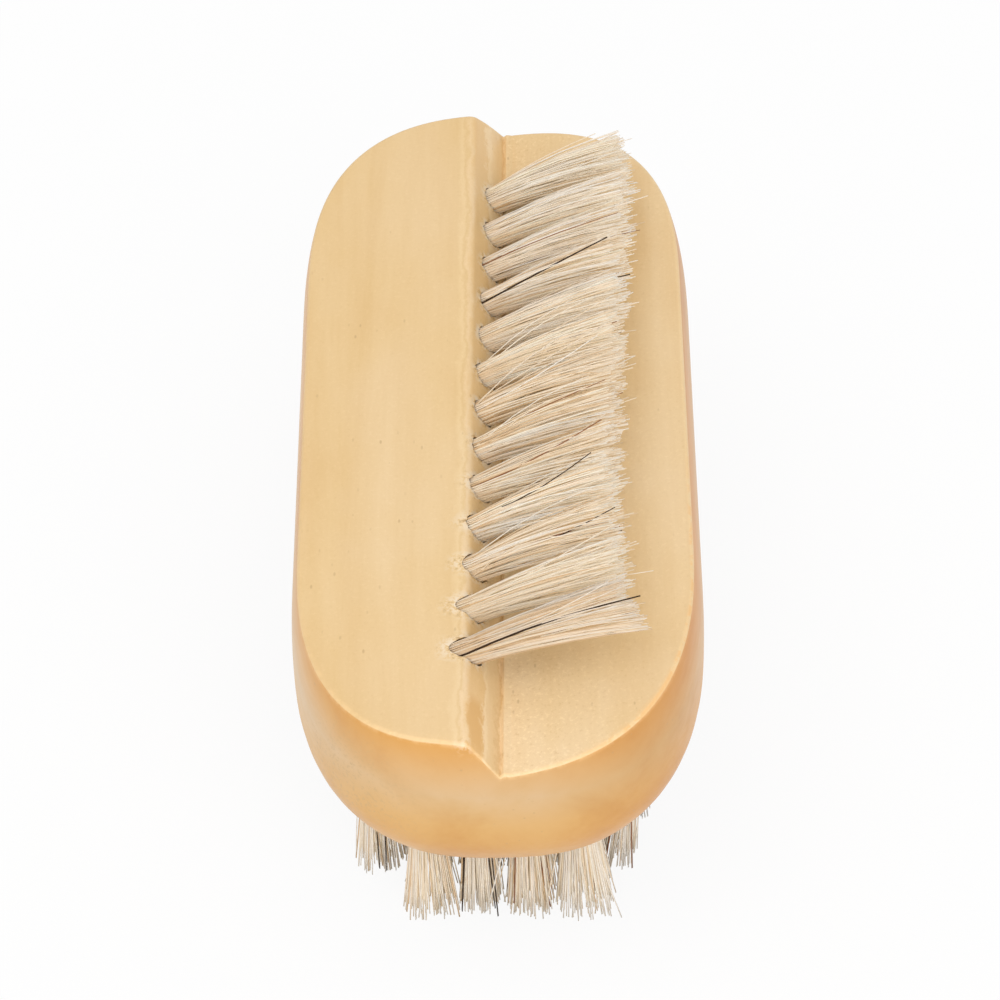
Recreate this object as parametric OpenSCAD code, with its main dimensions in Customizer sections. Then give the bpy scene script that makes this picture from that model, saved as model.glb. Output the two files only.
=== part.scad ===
// Wooden nail brush: a block with a field of bristle tufts below and one slanting row of tufts on top.
// +X is the right-hand side, +Y runs along the brush and +Z is up.
// The origin is under the middle of the block, in the plane of the lower bristles' tips.

/* [Block] */
// Length of the wooden block
block_length = 93; // [88:0.5:105]
// Width of the block at its widest line
block_width = 41; // [40:0.5:48]
// Thickness of the block, from its underside to the ridge
block_thick = 18.5; // [17:0.1:22]
// Length of each rounded end, from the straight sides to the tip
end_length = 27.5; // [22:0.5:34]
// Fullness of the rounded ends: 2 is an ellipse and more is squarer
end_power = 2.6; // [2.4:0.1:3.2]
// Height of the widest line above the underside
belly_height = 6.6; // [4:0.1:8]
// How far the long sides draw in from the widest line up to the ridge's height
side_draw = 1.3; // [0.6:0.1:2]
// How far the ends draw in from the widest line up to the ridge's height
end_draw = 1.5; // [0.6:0.1:2]
// How late that draw-in comes: a higher power keeps the sides upright for longer
draw_power = 2.9; // [2:0.1:6]
// How far the skin draws in from the widest line down to the underside
under_draw = 2.4; // [1:0.1:3]

/* [Notch] */
// Distance of the ridge to the left of the middle line
ridge_offset = 2.5; // [1:0.1:5]
// Width of the notch's sloping wall, from the ridge to the root
wall_width = 3.1; // [2.5:0.1:4]
// Depth of the notch, from the ridge to the root
notch_depth = 4; // [3.2:0.1:5]
// Radius of the rounded ridge
ridge_radius = 1.2; // [0.4:0.1:1.6]
// How far the left plane falls from the ridge to the block's left side
left_fall = 1.1; // [0.4:0.1:3]
// How far the right plane ends below the ridge at the block's right side
right_drop = 0.3; // [0:0.1:1.5]
// Turn of the notch and its row of tufts against the block's middle line, in degrees
notch_turn = 0.5; // [0:0.1:2]

/* [Top row] */
// Number of tufts in the top row
top_count = 13; // [9:1:13]
// Distance of the first hole from the block's far end
top_far_margin = 12.5; // [8:0.5:16]
// Distance of the last hole from the block's near end
top_near_margin = 13.5; // [8:0.5:18]
// Angle of the holes and tufts above the horizontal
top_rise = 28; // [22:1:36]
// Distance of the holes' line from the ridge, down the wall, at mid-length
hole_drop = 2.2; // [1.8:0.1:2.6]
// How much farther down the wall that line lies at the block's far end
hole_drift = 2; // [0:0.1:2.2]
// Depth of the top row's holes
top_hole_depth = 9; // [7:0.5:11]
// Length of the top row's bristles outside the wall
top_bristle_length = 15; // [12:0.5:18]
// How far the top row's bristles sag at their tips
top_sag = 1; // [0:0.1:2]
// How unequal the top row's bristles are in length
top_ragged = 0.5; // [0:0.1:1]

/* [Lower bristles] */
// Length of the lower bristles below the block
bristle_length = 16.5; // [12:0.5:22]
// Number of rows across the block
row_count = 13; // [9:2:13]
// Number of tufts in a full row
column_count = 6; // [4:1:6]
// Distance of the first and the last row from the block's ends
row_margin = 10.5; // [10:0.5:14]
// Distance of the outer tufts from the block's sides
column_margin = 8; // [7.5:0.5:10]
// Least distance of a tuft from the rounded edge of the underside
tuft_edge = 4.3; // [4:0.1:6]
// Depth of the lower holes
lower_hole_depth = 8; // [6:0.5:9]

/* [Tufts] */
// Diameter of a drilled tuft hole
hole_diameter = 3; // [2.6:0.1:3.4]
// Clearance between a tuft's root and its hole
root_clearance = 0.1; // [0.05:0.01:0.2]
// Clearance between a folded root and the bottom of its hole
bottom_clearance = 0.2; // [0.1:0.05:0.4]
// Distance from the middle strand to the strands round it, at the hole
root_spread = 0.75; // [0.65:0.05:0.8]
// Half the width of a strand at the hole
strand_root = 0.36; // [0.2:0.01:0.38]
// Half the width of a strand at its tip
strand_tip = 0.68; // [0.2:0.01:0.7]
// Free space between the tips of two neighbouring tufts
tip_gap = 0.3; // [0.1:0.05:0.8]

/* [Staples] */
// Thickness of the flat anchor wire
wire_thick = 0.5; // [0.3:0.05:0.7]
// Height of the anchor wire along the hole
wire_height = 1.6; // [1:0.1:2]
// How far each end of an anchor bites into the wood
wire_bite = 0.4; // [0.2:0.05:0.6]
// Thickness of the bristles folded under an anchor
fold_thick = 1; // [0.6:0.1:1.6]

/* [Hidden] */
// Steps in a quarter of the block's outline, levels of its skin and steps of the ridge's round
quarter_steps = 14;
skin_levels = 12;
ridge_steps = 4;
// Strands of a lower tuft and of a top tuft, the middle one included, and the sides of a strand
lower_strands = 4;
top_strands = 7;
strand_sides = 3;
// Sides of a drilled hole and of a tuft's packed root, whose corners point the same way
hole_sides = 12;
root_sides = 6;
// How deep a strand starts inside the packed root
strand_embed = 0.8;
// Turn of the strands from one tuft to the next, so that no two neighbours look alike
strand_turn = 50;
// One overrun for every cut
overrun = 1;

underside = bristle_length;
ridge_height = underside + block_thick;
straight_half = block_length / 2 - end_length;
hole_radius = hole_diameter / 2;
wall_length = norm([wall_width, notch_depth]);
wall_direction = [wall_width, 0, -notch_depth] / wall_length;
top_pitch = (block_length - top_far_margin - top_near_margin) / (top_count - 1);
row_pitch = (block_length - 2 * row_margin) / (row_count - 1);
column_pitch = (block_width - 2 * column_margin) / (column_count - 1);

wood = [0.90, 0.76, 0.56];
hair = [0.90, 0.85, 0.74];
wire = [0.72, 0.72, 0.70];

function numbered(stem, i) = str(stem, i < 9 ? "0" : "", i + 1);

// How far the skin lies inside the widest line at a height above the underside
function skin_inset(height, draw) =
    height > belly_height
        ? draw * pow((height - belly_height) / (block_thick - belly_height), draw_power)
        : under_draw * pow((belly_height - height) / belly_height, 2);

// A point of the outline: a squared ellipse at each end, moved out by the straight sides
function outline_point(angle, end_side, half_width, end_reach) = [
    half_width * sign(cos(angle)) * pow(abs(cos(angle)), 2 / end_power),
    end_side * (straight_half + end_reach * pow(abs(sin(angle)), 2 / end_power))
];

// The outline at one height, counter-clockwise from the right-hand side
function outline(height) =
    let (
        half_width = block_width / 2 - skin_inset(height, side_draw),
        end_reach = end_length - skin_inset(height, end_draw),
        step = 90 / quarter_steps
    )
    concat(
        [for (a = [0 : 2 * quarter_steps]) outline_point(a * step, 1, half_width, end_reach)],
        [for (a = [0 : 2 * quarter_steps]) outline_point(180 + a * step, -1, half_width, end_reach)]
    );

// Triangles of a tube of rings, with flat ends; the first point has the number start
function tube_faces(start, rings, sides) = concat(
    [for (k = [1 : sides - 2]) [start, start + k, start + k + 1]],
    [for (r = [0 : rings - 2], k = [0 : sides - 1])
        let (
            a = start + r * sides + k,
            b = start + r * sides + (k + 1) % sides
        )
        each [[a, a + sides, b + sides], [a, b + sides, b]]],
    [for (k = [1 : sides - 2])
        let (top = start + (rings - 1) * sides)
        [top, top + k + 1, top + k]]
);

// The bulging skin of the block, taken past the ridge so that the top planes cut it
module skin() {
    levels = [
        for (k = [0 : skin_levels]) block_thick * (1 - cos(180 * k / skin_levels)) / 2,
        block_thick + overrun
    ];
    points = [for (h = levels, p = outline(h)) [p[0], p[1], underside + h]];
    polyhedron(points, tube_faces(0, len(levels), 4 * quarter_steps + 2), convexity = 4);
}

// Points of the rounded ridge, between the left plane and the wall
function ridge_round() =
    let (
        tilt = atan(left_fall / (block_width / 2 - ridge_offset)),
        steep = atan(notch_depth / wall_width),
        middle = 90 + (tilt - steep) / 2,
        reach = ridge_radius / sin((180 - tilt - steep) / 2),
        centre = [-ridge_offset, ridge_height] - reach * [cos(middle), sin(middle)]
    )
    [for (k = [0 : ridge_steps])
        let (a = 90 + tilt - (tilt + steep) * k / ridge_steps)
        centre + ridge_radius * [cos(a), sin(a)]];

// Everything above the two top planes and the notch's wall, as one long saw-tooth prism
module above_the_planes() {
    left_run = block_width / 2 - ridge_offset;
    root_x = wall_width - ridge_offset;
    right_run = block_width / 2 - root_x;
    past = 2 * overrun;
    left_slope = left_fall / left_run;
    right_slope = (notch_depth - right_drop) / right_run;
    left_edge = -block_width / 2 - past;
    right_edge = block_width / 2 + past;
    lid = ridge_height + block_thick;
    section = concat(
        [[left_edge, lid], [left_edge, ridge_height - left_fall - past * left_slope]],
        ridge_round(),
        [[root_x, ridge_height - notch_depth],
         [right_edge, ridge_height - right_drop + past * right_slope],
         [right_edge, lid]]
    );
    translate([0, block_length, 0])
        rotate([90, 0, 0])
            linear_extrude(2 * block_length)
                polygon(section);
}

// Distance of a top hole from the middle of the brush, counted from the far end
function top_y(i) = block_length / 2 - top_far_margin - i * top_pitch;

// Distance of a top hole from the ridge, down the wall, at least its radius away from the root
function top_drop(i) =
    min(hole_drop + hole_drift * top_y(i) / (block_length / 2), wall_length - hole_radius);

// Puts what follows at a top hole's mouth, with +Z along the tuft
module at_top_hole(i) {
    rotate([0, 0, -notch_turn])
        translate([-ridge_offset, top_y(i), ridge_height] + top_drop(i) * wall_direction)
            rotate([0, 90 - top_rise, 0])
                children();
}

function row_y(row) = block_length / 2 - row_margin - row * row_pitch;

function column_x(column) = -block_width / 2 + column_margin + column * column_pitch;

// Whether a tuft at this place keeps its distance from the underside's edge
function fits_underside(x, y) =
    let (
        across = abs(x) / (block_width / 2 - under_draw - tuft_edge),
        along = max(0, abs(y) - straight_half) / (end_length - under_draw - tuft_edge)
    )
    pow(across, end_power) + pow(along, end_power) <= 1;

function columns_of(row) = [
    for (column = [0 : column_count - 1]) if (fits_underside(column_x(column), row_y(row))) column
];

// Puts what follows at a lower hole's mouth, with +Z along the tuft, out of the hole
module at_lower_hole(row, column) {
    translate([column_x(column), row_y(row), underside])
        rotate([180, 0, 0])
            children();
}

// A bar from a depth below the mouth, with a flat side, and no corner, at each end of the anchor
module bar(radius, depth, height, sides) {
    translate([0, 0, -depth])
        rotate([0, 0, 180 / hole_sides])
            cylinder(r = radius, h = height, $fn = sides);
}

// A drilled hole, from its bottom to past its mouth
module hole(depth, past) {
    bar(hole_radius, depth, depth + past, hole_sides);
}

// The flat piece of wire that is driven across a hole to hold the tuft folded round it
module anchor(depth) {
    bottom = -depth + bottom_clearance + fold_thick;
    translate([-wire_thick / 2, -hole_radius - wire_bite, bottom])
        cube([wire_thick, hole_diameter + 2 * wire_bite, wire_height]);
}

module block() {
    color(wood)
        difference() {
            skin();
            rotate([0, 0, -notch_turn])
                above_the_planes();
            for (i = [0 : top_count - 1])
                at_top_hole(i) {
                    hole(top_hole_depth, 2 * hole_diameter);
                    anchor(top_hole_depth);
                }
            for (row = [0 : row_count - 1])
                for (column = columns_of(row))
                    at_lower_hole(row, column) {
                        hole(lower_hole_depth, overrun);
                        anchor(lower_hole_depth);
                    }
        }
}

// Places of a tuft's strands round its middle one
function spots(count, spread, turn) = concat(
    [[0, 0]],
    [for (k = [0 : count - 2])
        let (a = turn + 360 * k / (count - 1))
        spread * [cos(a), sin(a)]]
);

// Strands as slim tubes through the given paths, all in one shape
module strands(paths) {
    rings = len(paths[0]);
    points = [
        for (path = paths, r = [0 : rings - 1], k = [0 : strand_sides - 1])
            let (
                share = (path[r][2] - path[0][2]) / (path[rings - 1][2] - path[0][2]),
                width = strand_root + (strand_tip - strand_root) * share,
                a = 360 * k / strand_sides
            )
            path[r] + width * [cos(a), sin(a), 0]
    ];
    polyhedron(
        points,
        [for (s = [0 : len(paths) - 1]) each tube_faces(s * rings * strand_sides, rings, strand_sides)]
    );
}

// The bristles packed in the hole, folded under the anchor
module packed_root(depth) {
    length = depth - bottom_clearance;
    difference() {
        bar(hole_radius - root_clearance, length, length, root_sides);
        anchor(depth);
    }
}

// A lower tuft: its strands spread evenly and end flat in the plane that the brush stands on
module lower_tuft(turn) {
    tip_spread = (min(row_pitch, column_pitch) - tip_gap) / 2 - strand_tip;
    roots = spots(lower_strands, root_spread, turn);
    tips = spots(lower_strands, tip_spread, turn);
    union() {
        packed_root(lower_hole_depth);
        strands([
            for (s = [0 : lower_strands - 1]) [
                [roots[s][0], roots[s][1], -strand_embed],
                [roots[s][0], roots[s][1], 0],
                [tips[s][0], tips[s][1], bristle_length]
            ]
        ]);
    }
}

// A top tuft: its strands spread until they meet their neighbours, and sag a little
module top_tuft_shape(turn) {
    tip_spread = (top_pitch - tip_gap) / 2 - strand_tip;
    roots = spots(top_strands, root_spread, turn);
    tips = spots(top_strands, tip_spread, turn);
    union() {
        packed_root(top_hole_depth);
        strands([
            for (s = [0 : top_strands - 1])
                let (
                    length = top_bristle_length + top_ragged * sin(turn + 150 * s),
                    middle = (roots[s] + tips[s]) / 2
                )
                [
                    [roots[s][0], roots[s][1], -strand_embed],
                    [roots[s][0], roots[s][1], 0],
                    [middle[0] + top_sag / 4, middle[1], length / 2],
                    [tips[s][0] + top_sag, tips[s][1], length]
                ]
        ]);
    }
}

module top_tuft(i) {
    color(hair)
        at_top_hole(i)
            top_tuft_shape(strand_turn * i);
}

module lower_row(row) {
    color(hair)
        for (column = columns_of(row))
            at_lower_hole(row, column)
                lower_tuft(strand_turn * (row + 2 * column));
}

module top_staples() {
    color(wire)
        for (i = [0 : top_count - 1])
            at_top_hole(i)
                anchor(top_hole_depth);
}

module lower_staples() {
    color(wire)
        for (row = [0 : row_count - 1])
            for (column = columns_of(row))
                at_lower_hole(row, column)
                    anchor(lower_hole_depth);
}

block();
for (i = [0 : top_count - 1])
    top_tuft(i);
for (row = [0 : row_count - 1])
    lower_row(row);
top_staples();
lower_staples();
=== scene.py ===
"""Looks of the wooden nail brush: its lacquered block, anchors and tufts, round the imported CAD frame."""

import math

import bpy
import numpy as np
from mathutils import Matrix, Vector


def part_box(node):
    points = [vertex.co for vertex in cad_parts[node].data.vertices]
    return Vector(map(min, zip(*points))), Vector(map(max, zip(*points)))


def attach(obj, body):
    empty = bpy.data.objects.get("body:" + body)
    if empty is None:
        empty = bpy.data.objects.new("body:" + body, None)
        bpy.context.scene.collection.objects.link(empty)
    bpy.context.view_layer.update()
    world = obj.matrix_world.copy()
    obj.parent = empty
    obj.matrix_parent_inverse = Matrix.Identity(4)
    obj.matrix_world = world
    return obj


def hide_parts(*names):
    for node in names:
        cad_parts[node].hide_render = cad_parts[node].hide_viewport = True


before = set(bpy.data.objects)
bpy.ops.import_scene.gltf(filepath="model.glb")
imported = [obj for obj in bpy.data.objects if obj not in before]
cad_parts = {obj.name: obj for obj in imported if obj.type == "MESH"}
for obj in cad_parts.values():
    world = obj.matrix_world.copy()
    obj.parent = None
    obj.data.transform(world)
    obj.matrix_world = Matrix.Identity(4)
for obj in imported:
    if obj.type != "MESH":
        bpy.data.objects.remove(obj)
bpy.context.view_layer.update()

# Block: one piece of pale, close-grained hardwood, moulded to an oval with bulging sides and rounded ends.
# A notch is planed along its top, the rims are eased by hand, tuft holes are drilled in the notch's wall and
# in the underside, and a clear satin lacquer covers all of it.
MM = 0.001
DEGREE = math.pi / 180
block_low, block_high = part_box("block")
underside = block_low.z
block_thick = block_high.z - underside
half_width = block_high.x
half_length = block_high.y
end_length = 27.5 * MM
straight_half = half_length - end_length
end_power = 2.6
belly_height = 6.6 * MM
side_draw, end_draw, draw_power = 1.3 * MM, 1.5 * MM, 2.9
under_draw = 2.4 * MM
ridge_offset, wall_width, notch_depth = 2.5 * MM, 3.1 * MM, 4 * MM
ridge_radius = 1.2 * MM
left_fall, right_drop = 1.1 * MM, 0.3 * MM
notch_turn = 0.5 * DEGREE
rim_round, foot_round = 0.32 * MM, 0.6 * MM
wall_length = math.hypot(wall_width, notch_depth)
root_x = wall_width - ridge_offset
chip_size, chip_depth = 0.9 * MM, 0.18 * MM
rim_steps, skin_steps, ridge_steps = 6, 22, 10


def skin_inset(height, draw):
    """Inset from the widest line: above it the draw times a power of the share of the way up to the ridge,
    and below it the under-draw times the square of the share of the way down to the underside."""
    up = np.clip((height - belly_height) / (block_thick - belly_height), 0, None)
    down = np.clip((belly_height - height) / belly_height, 0, None)
    return draw * up ** draw_power + under_draw * down ** 2


def end_curve(across):
    """Height of the squared ellipse over its long axis, for a share of the half width from -1 to 1."""
    return np.clip(1 - np.abs(across) ** end_power, 0, None) ** (1 / end_power)


def outline_at(across, along, height, inset):
    """A point of the plan: across times the half width at that height, and along times the straight half
    plus the end's reach times the end curve, so that along 1 and -1 are the ends and across 1 and -1 the
    straight sides."""
    reach_x = half_width - skin_inset(height, side_draw) - inset
    reach_y = end_length - skin_inset(height, end_draw) - inset
    return across * reach_x, along * (straight_half + reach_y * end_curve(across))


def notch_profile():
    """Section across the top: a falling plane, an arc for the ridge, two planed facets, a small raised lip
    past the root, and a plane that rises to the right side. Heights are relative to the ridge."""
    tilt = math.atan(left_fall / (half_width - ridge_offset))
    steep = math.atan(notch_depth / wall_width)
    middle = (math.pi + tilt - steep) / 2
    reach = ridge_radius / math.sin((math.pi - tilt - steep) / 2)
    centre = (-ridge_offset - reach * math.cos(middle), -reach * math.sin(middle))
    turn = np.linspace(math.pi / 2 + tilt, math.pi / 2 - steep, ridge_steps)
    arc = np.stack([centre[0] + ridge_radius * np.cos(turn), centre[1] + ridge_radius * np.sin(turn)], 1)
    slope = (notch_depth - right_drop) / (half_width - root_x)
    facet = np.array([(x * MM, lift * MM - notch_depth * (x * MM + ridge_offset) / wall_width)
                      for x, lift in ((-0.9, 0.1), (-0.8, 0.08))])
    lip = ((-0.12, 0.16), (0, 0), (0.12, 0.03), (0.3, 0.26), (0.55, 0.29), (0.85, 0.18))
    root = np.array([(root_x + past * MM, lift * MM - notch_depth) for past, lift in lip])
    left = np.array([[-2 * half_width, -math.tan(tilt) * (2 * half_width - ridge_offset)]])
    right = np.array([[2 * half_width, -notch_depth + slope * (2 * half_width - root_x)]])
    return np.concatenate([left, arc, facet, root, right])


profile = notch_profile()


def top_height(x, y):
    """Height above the underside of the planed top: the section, read across a line turned a little from the
    middle one, less a small rough hollow where the ridge is chipped at its near end."""
    across = x * math.cos(notch_turn) - y * math.sin(notch_turn)
    height = block_thick + np.interp(across, profile[:, 0], profile[:, 1])
    chip = np.exp(-((across + 3.1 * MM) / chip_size) ** 2 - ((y + 45.2 * MM) / chip_size) ** 2)
    rough = 0.5 + 0.5 * np.sin(across / MM * 9.0) * np.sin(y / MM * 11.0 + 1.0)
    return height - chip * (chip_depth + 0.12 * MM * rough)


def block_columns():
    """Shares of the half width for the grid's columns: even along the end curve at both sides, and on the
    section's own corners in the notch."""
    reach = half_width - side_draw - rim_round
    angle = np.linspace(0, math.pi / 2, 4001)
    power = 2 / end_power
    curve = np.stack([np.cos(angle) ** power * reach, np.sin(angle) ** power * end_length], 1)
    run = np.concatenate([[0], np.cumsum(np.linalg.norm(np.diff(curve, axis=0), axis=1))])

    def side(stop, steps):
        """Even steps along the curve, from the straight side to the column at stop."""
        last = np.interp(-stop, -curve[:, 0], run)
        return np.interp(np.linspace(0, last, steps), run, curve[:, 0])[:-1]

    left_stop, right_stop = 4.2 * MM, 2.4 * MM
    left_steps, right_steps = 46, 48
    corners = profile[1:-1, 0]
    fine = np.concatenate([[-left_stop, -3.6 * MM], corners, np.linspace(-1.75, -1.0, 4) * MM,
                           np.linspace(-0.6, 0.36, 5) * MM, [1.7 * MM, 2.0 * MM, right_stop]])
    left, right = -side(left_stop, left_steps), side(right_stop, right_steps)[::-1]
    return np.concatenate([left, np.sort(fine), right]) / reach


columns = block_columns()
column_count, row_count = len(columns), 121


def block_grid(inset):
    """Shares across and along of a grid whose columns follow the turned notch in the middle and the sides
    at the rim: the columns' shift fades with the fourth power of the share across."""
    along = np.linspace(-1, 1, row_count)[None, :]
    across = columns[:, None]
    reach = half_width - inset
    length = straight_half + end_length * end_curve(across)
    return across + along * length * math.tan(notch_turn) / reach * (1 - across ** 4), along + 0 * across


def rim_loop(grid):
    """The grid's border as one loop, counter-clockwise from above: right, far end, left, near end."""
    return np.concatenate([grid[-1, :-1], grid[:0:-1, -1], grid[0, :0:-1], grid[:-1, 0]])


def quads_of(index):
    """Quads between neighbouring columns and rows of a grid of point numbers, facing up."""
    return np.stack([index[:-1, :-1], index[1:, :-1], index[1:, 1:], index[:-1, 1:]], -1).reshape(-1, 4)


def block_surface():
    """A closed shell: a grid on the planed top, a quarter-round rim, rings down the bulging skin, a
    quarter-round foot and a flat grid below, all with the same border. The top's heights and places settle
    in a few rounds, because each depends on the other."""
    across, along = block_grid(rim_round)
    height = np.full(across.shape, block_thick)
    for _ in range(8):
        x, y = outline_at(across, along, height, rim_round)
        height = top_height(x, y)
    top = np.stack([x, y, height], -1)
    edge_across, edge_along, edge_height = rim_loop(across), rim_loop(along), rim_loop(height)
    rings = []
    for angle in np.linspace(80, 0, rim_steps) * DEGREE:
        level = edge_height - rim_round * (1 - math.sin(angle))
        rings.append((level, rim_round * (1 - math.cos(angle))))
    upper = edge_height - rim_round
    for share in (1 - np.cos(np.linspace(0, math.pi, skin_steps)))[1:-1] / 2:
        rings.append((upper + (foot_round - upper) * share, 0.0))
    for angle in np.linspace(0, 80, rim_steps) * DEGREE:
        rings.append((foot_round * (1 - math.sin(angle)) + 0 * upper, foot_round * (1 - math.cos(angle))))
    skin = []
    for level, inset in rings:
        x, y = outline_at(edge_across, edge_along, level, inset)
        skin.append(np.stack([x, y, level], -1))
    x, y = outline_at(across, along, 0 * across, foot_round)
    bottom = np.stack([x, y, 0 * x], -1)
    shell = np.concatenate([top.reshape(-1, 3), *skin, bottom.reshape(-1, 3)])
    shell[:, 2] += underside
    first, ring_length = column_count * row_count, len(edge_height)
    top_index = np.arange(first).reshape(column_count, row_count)
    loops = [rim_loop(top_index)]
    loops += [first + k * ring_length + np.arange(ring_length) for k in range(len(skin))]
    bottom_index = top_index + first + len(skin) * ring_length
    loops.append(rim_loop(bottom_index))
    faces = [quads_of(top_index), quads_of(bottom_index)[:, ::-1]]
    for upper_loop, lower_loop in zip(loops[:-1], loops[1:]):
        faces.append(np.stack([upper_loop, lower_loop, np.roll(lower_loop, -1), np.roll(upper_loop, -1)], 1))
    return shell, np.concatenate(faces).tolist()


def new_piece(name, points, faces):
    """A mesh object at the origin, from an array of points and a list of faces."""
    mesh = bpy.data.meshes.new(name)
    mesh.from_pydata(points.tolist(), [], faces)
    mesh.validate()
    mesh.update()
    piece = bpy.data.objects.new(name, mesh)
    bpy.context.scene.collection.objects.link(piece)
    return piece


# The holes' places are the CAD's: 13 in the wall, farther down it at the far end, and 74 below.
top_count, lower_rows, lower_columns = 13, 13, 6
top_far_margin, top_near_margin = 12.5 * MM, 13.5 * MM
top_pitch = (2 * half_length - top_far_margin - top_near_margin) / (top_count - 1)
top_rise = 28 * DEGREE
hole_drop, hole_drift = 2.2 * MM, 2.0 * MM
hole_radius = 1.5 * MM
top_hole_depth, lower_hole_depth = 9 * MM, 8 * MM
row_margin, column_margin, tuft_edge = 10.5 * MM, 8 * MM, 4.3 * MM
drill_sides, wave_count = 32, 10
top_past, lower_past = 6 * MM, 1.4 * MM
top_torn, lower_torn, torn_reach = 0.18 * MM, 0.03 * MM, 0.8 * MM
top_drill_seed, lower_drill_seed = 20, 60
turn_matrix = np.array([[math.cos(notch_turn), math.sin(notch_turn), 0],
                        [-math.sin(notch_turn), math.cos(notch_turn), 0], [0, 0, 1]])


def top_place(number):
    """Mouth and axes of a top hole: down the wall from the ridge, with +Z along the tuft and +X downwards."""
    y = half_length - top_far_margin - number * top_pitch
    drop = min(hole_drop + hole_drift * y / half_length, wall_length - hole_radius)
    mouth = np.array([-ridge_offset + drop * wall_width / wall_length, y,
                      underside + block_thick - drop * notch_depth / wall_length])
    axes = np.array([[math.sin(top_rise), 0, -math.cos(top_rise)], [0, 1, 0],
                     [math.cos(top_rise), 0, math.sin(top_rise)]])
    return turn_matrix @ mouth, axes @ turn_matrix.T


def lower_places(row):
    """Mouths and axes of a row of lower holes, with +Z downwards, that keep clear of the foot's edge."""
    y = half_length - row_margin - row * 2 * (half_length - row_margin) / (lower_rows - 1)
    found = []
    for x in np.linspace(column_margin - half_width, half_width - column_margin, lower_columns):
        across = abs(x) / (half_width - under_draw - tuft_edge)
        along = max(0, abs(y) - straight_half) / (end_length - under_draw - tuft_edge)
        if across ** end_power + along ** end_power <= 1:
            found.append((np.array([x, y, underside]), np.diag([1.0, -1.0, -1.0])))
    return found


def drill(mouth, axes, depth, past, torn, seed):
    """The space that a drill leaves: a bar round the axis, from the hole's depth to a little past its
    mouth. Near the mouth its radius swells by a ragged sum of waves that differs from angle to angle."""
    heights = np.concatenate([[-depth], np.linspace(-2.4, 1.2, 16) * MM, [past]])
    angle = np.arange(drill_sides) * 2 * math.pi / drill_sides
    dice = np.random.default_rng(seed)
    waves = sum(dice.normal() * np.sin(k * angle[None, :] + dice.uniform(0, 6.28)
                                       + heights[:, None] / MM * dice.uniform(1, 4))
                for k in range(3, 3 + wave_count)) / 3.2
    near_mouth = np.exp(-(heights / torn_reach) ** 2)[:, None]
    radius = hole_radius + torn * near_mouth * np.maximum(0.25 + 0.6 * waves, -0.3)
    local = np.stack([radius * np.cos(angle), radius * np.sin(angle), heights[:, None] + 0 * radius], -1)
    points = local.reshape(-1, 3) @ axes + mouth
    ring = np.arange(len(heights) * drill_sides).reshape(len(heights), drill_sides)
    ahead = np.roll(ring, -1, 1)
    wall = np.stack([ring[:-1], ahead[:-1], ahead[1:], ring[1:]], -1).reshape(-1, 4)
    return points, wall, np.stack([ring[0, ::-1], ring[-1]])


def joined(parts):
    """Points and faces of several parts, each with its points, its wall of quads and its end faces, whose
    point numbers move on by the points before them."""
    first = np.cumsum([0] + [len(part[0]) for part in parts[:-1]])
    points, wall, ends = (np.concatenate([part[k] + (start if k else 0) for part, start in zip(parts, first)])
                          for k in range(3))
    return points, wall.tolist() + ends.tolist()


drills = [drill(*top_place(i), top_hole_depth, top_past, top_torn, top_drill_seed + i)
          for i in range(top_count)]
drills += [drill(*place, lower_hole_depth, lower_past, lower_torn, lower_drill_seed + k)
           for row in range(lower_rows) for k, place in enumerate(lower_places(row))]
drill_set = new_piece("drills", *joined(drills))
block = new_piece("block_wood", *block_surface())
cut = block.modifiers.new("drilling", "BOOLEAN")
cut.operation, cut.object, cut.solver = "DIFFERENCE", drill_set, "MANIFOLD"
bpy.context.view_layer.update()
cut_mesh = bpy.data.meshes.new_from_object(block.evaluated_get(bpy.context.evaluated_depsgraph_get()))
block.modifiers.clear()
block.data = cut_mesh
bpy.data.objects.remove(drill_set)
cut_mesh.shade_smooth()
cut_mesh.set_sharp_from_angle(angle=38 * DEGREE)


def rim_share(points):
    """How near points are to the eased rim, from 0 to 1: it falls off with the square of the gap to the
    outline and of the depth below the planed top."""
    rim_wide, rim_deep = 0.30 * MM, 0.38 * MM
    x, y, height = points[:, 0], points[:, 1], points[:, 2] - underside
    reach_x = half_width - skin_inset(height, side_draw)
    reach_y = end_length - skin_inset(height, end_draw)
    across = np.clip(x / reach_x, -1, 1)
    curve = end_curve(across)
    bend = np.abs(across) ** (end_power - 1) * np.clip(curve, 0.05, None) ** (1 - end_power)
    slope = bend * reach_y / reach_x
    gap = np.minimum(reach_x - np.abs(x), (straight_half + reach_y * curve - np.abs(y)) / np.hypot(1, slope))
    deep = top_height(x, y) - height
    return np.exp(-(gap / rim_wide) ** 2 - (deep / rim_deep) ** 2)


def torn_share(points):
    """How near points are to the rims of the top holes and to the ridge's chipped end, from 0 to 1."""
    best = np.full(len(points), 1.0)
    for i in range(top_count):
        mouth, axes = top_place(i)
        local = (points - mouth) @ axes.T
        gap = np.abs(np.hypot(local[:, 0], local[:, 1]) - hole_radius) / torn_reach
        best = np.minimum(best, np.where(np.abs(local[:, 2]) < 3 * MM, gap, 1))
    chip = np.array([-3.0 * MM, -45.6 * MM, underside + block_thick])
    return np.maximum(1 - best, 0.8 * np.exp(-(((points - chip) / chip_size) ** 2).sum(1)))


corners = np.empty(len(cut_mesh.vertices) * 3, np.float32)
cut_mesh.vertices.foreach_get("co", corners)
corners = corners.reshape(-1, 3).astype(float)
for name, share in (("rim", rim_share(corners)), ("torn", torn_share(corners))):
    cut_mesh.attributes.new(name, "FLOAT", "POINT").data.foreach_set("value", share.astype(np.float32))


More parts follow.
